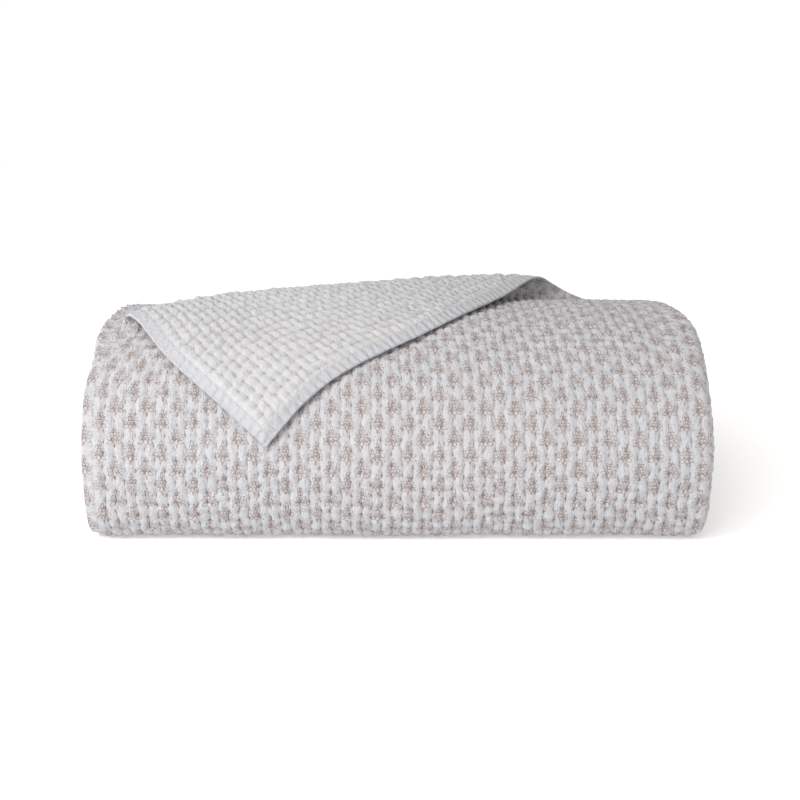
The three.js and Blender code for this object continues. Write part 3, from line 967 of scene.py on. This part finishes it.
def cotton_bump(t, cloth, crinkling):
    """The cotton's small relief: woven threads, soft crinkles, short creases and the hems' puckers."""
    drawn_out = t.vector("MULTIPLY", cloth, CRINKLE_STRETCH)
    crinkle = t.math("MULTIPLY", t.noise(drawn_out, **CRINKLE).outputs["Fac"], CRINKLE_HEIGHT)
    for scale, depth in CREASES:
        crease = t.math("ABSOLUTE", t.math("SUBTRACT", t.noise(drawn_out, scale).outputs["Fac"], 0.5))
        crinkle = t.math("ADD", crinkle, t.math("MULTIPLY", t.ramp(crease, CREASE_WIDTH, 0.0), -depth))
    threads = t.math("MULTIPLY", woven_threads(t, cloth), WEAVE_HEIGHT)
    total = t.math("ADD", threads, t.math("MULTIPLY", crinkle, crinkling))
    total = t.math("ADD", total, t.math("MULTIPLY", hem_gathers(t, cloth), GATHER_HEIGHT))
    bump = t.node("ShaderNodeBump")
    bump.inputs["Strength"].default_value = BUMP_STRENGTH
    bump.inputs["Distance"].default_value = BUMP_DISTANCE
    t.feed(bump.inputs["Height"], total)
    t.feed(t.shader.inputs["Normal"], bump.outputs["Normal"])


def scaled(colour, factor):
    return (*(channel * factor for channel in colour[:3]), 1.0)


def cotton_surface(t, cloth, base):
    """Washed cotton: a little uneven in colour, with painted shade along the stitched rows where the face
    lies deep, and a faint sheen.
    """
    patch = t.noise(cloth, PATCHES["scale"], PATCHES["detail"]).outputs["Fac"]
    tone = t.mix(t.ramp(patch, *PATCHES["shows"]), base, scaled(base, PATCHES["darker"]))
    # Painted shade: the deeper the face lies in a stitched row or dimple, the more its colour is darkened
    # towards the valley colour
    valley = t.ramp(t.node("ShaderNodeAttribute", attribute_name="valley").outputs["Fac"], *VALLEY_SHADE_SHOWS)
    tone = t.mix(t.math("MULTIPLY", valley, VALLEY_SHADE_SHARE), tone, VALLEY_SHADE)
    t.shader.inputs["Roughness"].default_value = 0.93
    t.shader.inputs["Specular IOR Level"].default_value = 0.22
    t.shader.inputs["Sheen Weight"].default_value = 0.12
    t.shader.inputs["Sheen Roughness"].default_value = 0.55
    return tone


def printed_cotton():
    t = Tree("printed_cotton")
    cloth = cloth_coordinates(t)
    tone = cotton_surface(t, cloth, COTTON)
    t.feed(t.shader.inputs["Base Color"], t.mix(flower_ink(t, cloth), tone, INK))
    cotton_bump(t, cloth, PRINTED_CRINKLING)
    return t.material


def plain_cotton():
    t = Tree("plain_cotton")
    cloth = cloth_coordinates(t)
    split = t.split(cloth)
    edge = t.math("MINIMUM", split[0], split[1])
    hem = t.ramp(edge, HEM_EDGE, HEM_EDGE - HEM_FADE)
    tone = t.mix(hem, cotton_surface(t, cloth, REVERSE), HEM_TONE)
    # Painted shade: a thin dark line along the hem's inner seam
    seam = t.ramp(t.math("ABSOLUTE", t.math("SUBTRACT", edge, HEM_EDGE)), *SEAM_SHADE_LINE)
    t.feed(t.shader.inputs["Base Color"], t.mix(t.math("MULTIPLY", seam, SEAM_SHADE_SHARE), tone, VALLEY_SHADE))
    cotton_bump(t, cloth, REVERSE_CRINKLING)
    return t.material


def thread_cotton():
    t = Tree("quilting_thread")
    cloth = cloth_coordinates(t)
    shade = t.ramp(t.noise(cloth, THREAD_PATCHES["scale"], 1.0).outputs["Fac"], *THREAD_PATCHES["shows"])
    t.feed(t.shader.inputs["Base Color"], t.mix(shade, THREAD, scaled(THREAD, THREAD_LIGHTER)))
    t.shader.inputs["Roughness"].default_value = 0.85
    return t.material


def stitch_sites(side):
    """Rows and numbers of the stitches that can be seen on a face."""
    rows = np.arange(1, math.floor((RIGHT_TURN_END - HEM_BAND) / ROW_PITCH) + 1)
    count = math.floor(FRONT_END / STITCH_PITCH) - 1
    row, number = (part.ravel().astype(float) for part in np.meshgrid(rows, np.arange(1, count + 1)))
    s = stitch_place(row, number, side)
    u = HEM_BAND + row * ROW_PITCH
    seen = (s > FIRST_STITCH) & (s < FRONT_END - PRESSED_RUN)
    if side == PLAIN:
        seen &= s < fold_line(u) + FLAP_STITCH_MARGIN
    return row[seen], s[seen]


def thread_faces(side):
    """The faces of one thread: a tube with closed ends."""
    faces = []
    for ring in range(len(THREAD_RINGS) - 1):
        for corner in range(THREAD_CORNERS):
            a = ring * THREAD_CORNERS + corner
            b = ring * THREAD_CORNERS + (corner + 1) % THREAD_CORNERS
            faces.append((a, b, b + THREAD_CORNERS, a + THREAD_CORNERS))
    last_ring = (len(THREAD_RINGS) - 1) * THREAD_CORNERS
    faces += [(2, 1, 0), tuple(range(last_ring, last_ring + THREAD_CORNERS))]
    return faces if side == PRINTED else [face[::-1] for face in faces]


def build_threads(name, side, material):
    """The stitches of one face: short thread lengths that dip into the cloth at both ends."""
    row, s = stitch_sites(side)
    u = HEM_BAND + row * ROW_PITCH
    radius = THREAD_RADIUS[side]
    spread = THREAD_LENGTH_SPREAD * scatter(row, s * MILLIMETRES)
    length = THREAD_LENGTH[side] / 2 * (THREAD_SHORTEST + spread)
    layers, cloth = [], []
    for ring in THREAD_RINGS:
        at = s + ring * length
        rise, shift, _ = face_rise(u, at, side)
        lift = radius * (THREAD_LIFT if abs(ring) < 1 else THREAD_DIP)
        for corner in range(THREAD_CORNERS):
            angle = 2 * math.pi * corner / THREAD_CORNERS
            away = radius * math.cos(angle)
            up = rise + lift + radius * math.sin(angle)
            layers.append(cloth_point(u + shift + away, at, up if side == PRINTED else -up))
            cloth.append(np.stack([u, at], axis=-1))
    points = np.stack(layers, axis=1)
    places = np.stack(cloth, axis=1).reshape(-1, 2)
    size = len(layers)
    faces = [tuple(c + k * size for c in face) for k in range(len(points)) for face in thread_faces(side)]
    uv = places[[c for face in faces for c in face]]
    return mesh_object(name, points.reshape(-1, 3), faces, uv, [PRINTED] * len(faces), [material])


FLOOR_SIZE = 12.0
FLOOR_COLOUR = (0.85, 0.85, 0.85, 1.0)
FLOOR_GLOW = (1.0, 0.99, 0.985, 1.0)
FLOOR_GLOW_STRENGTH = 0.32


def add_floor():
    bpy.ops.mesh.primitive_plane_add(size=FLOOR_SIZE, location=(0.0, 0.0, 0.0))
    floor = bpy.context.object
    floor.name = "floor"
    t = Tree("pale_floor")
    t.shader.inputs["Base Color"].default_value = FLOOR_COLOUR
    t.shader.inputs["Emission Color"].default_value = FLOOR_GLOW
    t.shader.inputs["Emission Strength"].default_value = FLOOR_GLOW_STRENGTH
    t.shader.inputs["Roughness"].default_value = 0.95
    t.shader.inputs["Specular IOR Level"].default_value = 0.0
    floor.data.materials.append(t.material)


def add_camera(front):
    data = bpy.data.cameras.new("camera")
    data.lens = CAMERA_LENS
    data.sensor_width = SENSOR_WIDTH
    camera = bpy.data.objects.new("camera", data)
    bpy.context.scene.collection.objects.link(camera)
    aim = Vector((CAMERA_AIM[0], front, CAMERA_AIM[1]))
    look = Vector((0.0, math.cos(CAMERA_TILT), -math.sin(CAMERA_TILT)))
    camera.location = aim - look * CAMERA_DISTANCE
    camera.rotation_euler = look.to_track_quat("-Z", "Y").to_euler()
    bpy.context.scene.camera = camera


# The studio. The world is brightest at the horizon and dims to a dome. DOME_RISE is where it starts and
# ends to dim, as the upward part of a direction.
HORIZON_STRENGTH = 1.02
DOME_STRENGTH = 0.38
DOME_RISE = (0.12, 0.50)
KEY = {"direction": (0.34, 0.52, -0.78), "location": (-1.0, -1.5, 2.0), "energy": 1.45}
KEY_ANGLE = math.radians(34)
SIDE = {"direction": (1.0, 0.95, -1.0), "location": (-1.25, -1.15, 1.25), "energy": 23.0}
WARM = {"direction": (-0.85, 1.5, -0.80), "location": (0.95, -1.6, 1.10), "energy": 5.4}
SOFT_LAMP_SIZE = 0.9
LAMP_COLOUR = (1.0, 0.985, 0.97)
WARM_COLOUR = (1.0, 0.86, 0.76)


def add_lamp(name, kind, direction, location, energy, colour=LAMP_COLOUR):
    data = bpy.data.lights.new(name, kind)
    data.energy = energy
    data.color = colour
    if kind == "AREA":
        data.shape = "DISK"
        data.size = SOFT_LAMP_SIZE
    lamp = bpy.data.objects.new(name, data)
    bpy.context.scene.collection.objects.link(lamp)
    lamp.location = location
    lamp.rotation_euler = Vector(direction).to_track_quat("-Z", "Y").to_euler()
    return data


def add_world():
    world = bpy.data.worlds.new("studio")
    world.use_nodes = True
    tree = world.node_tree
    direction = tree.nodes.new("ShaderNodeTexCoord")
    split = tree.nodes.new("ShaderNodeSeparateXYZ")
    rise = tree.nodes.new("ShaderNodeMapRange")
    rise.interpolation_type = "SMOOTHSTEP"
    rise.inputs["From Min"].default_value = DOME_RISE[0]
    rise.inputs["From Max"].default_value = DOME_RISE[1]
    rise.inputs["To Min"].default_value = HORIZON_STRENGTH
    rise.inputs["To Max"].default_value = DOME_STRENGTH
    tree.links.new(direction.outputs["Generated"], split.inputs[0])
    tree.links.new(split.outputs[2], rise.inputs["Value"])
    tree.links.new(rise.outputs["Result"], tree.nodes["Background"].inputs["Strength"])
    tree.nodes["Background"].inputs["Color"].default_value = (1.0, 1.0, 1.0, 1.0)
    bpy.context.scene.world = world


def add_light():
    """A soft key from the upper left, a near lamp from the left and a weak warm one from the right."""
    add_world()
    key = add_lamp("key", "SUN", **KEY)
    key.angle = KEY_ANGLE
    add_lamp("side", "AREA", **SIDE)
    add_lamp("warm", "AREA", **WARM, colour=WARM_COLOUR)
    bpy.context.scene.view_settings.view_transform = "Standard"


print_material = printed_cotton()
plain_material = plain_cotton()
thread_material = thread_cotton()
cloth = build_cloth([print_material, plain_material])
printed_threads = build_threads("printed_side_stitches", PRINTED, thread_material)
reverse_threads = build_threads("reverse_side_stitches", PLAIN, thread_material)
for piece in (cloth, printed_threads, reverse_threads):
    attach(piece, "root")
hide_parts("quilt")
add_camera(cad_box[0].y)
add_floor()
add_light()
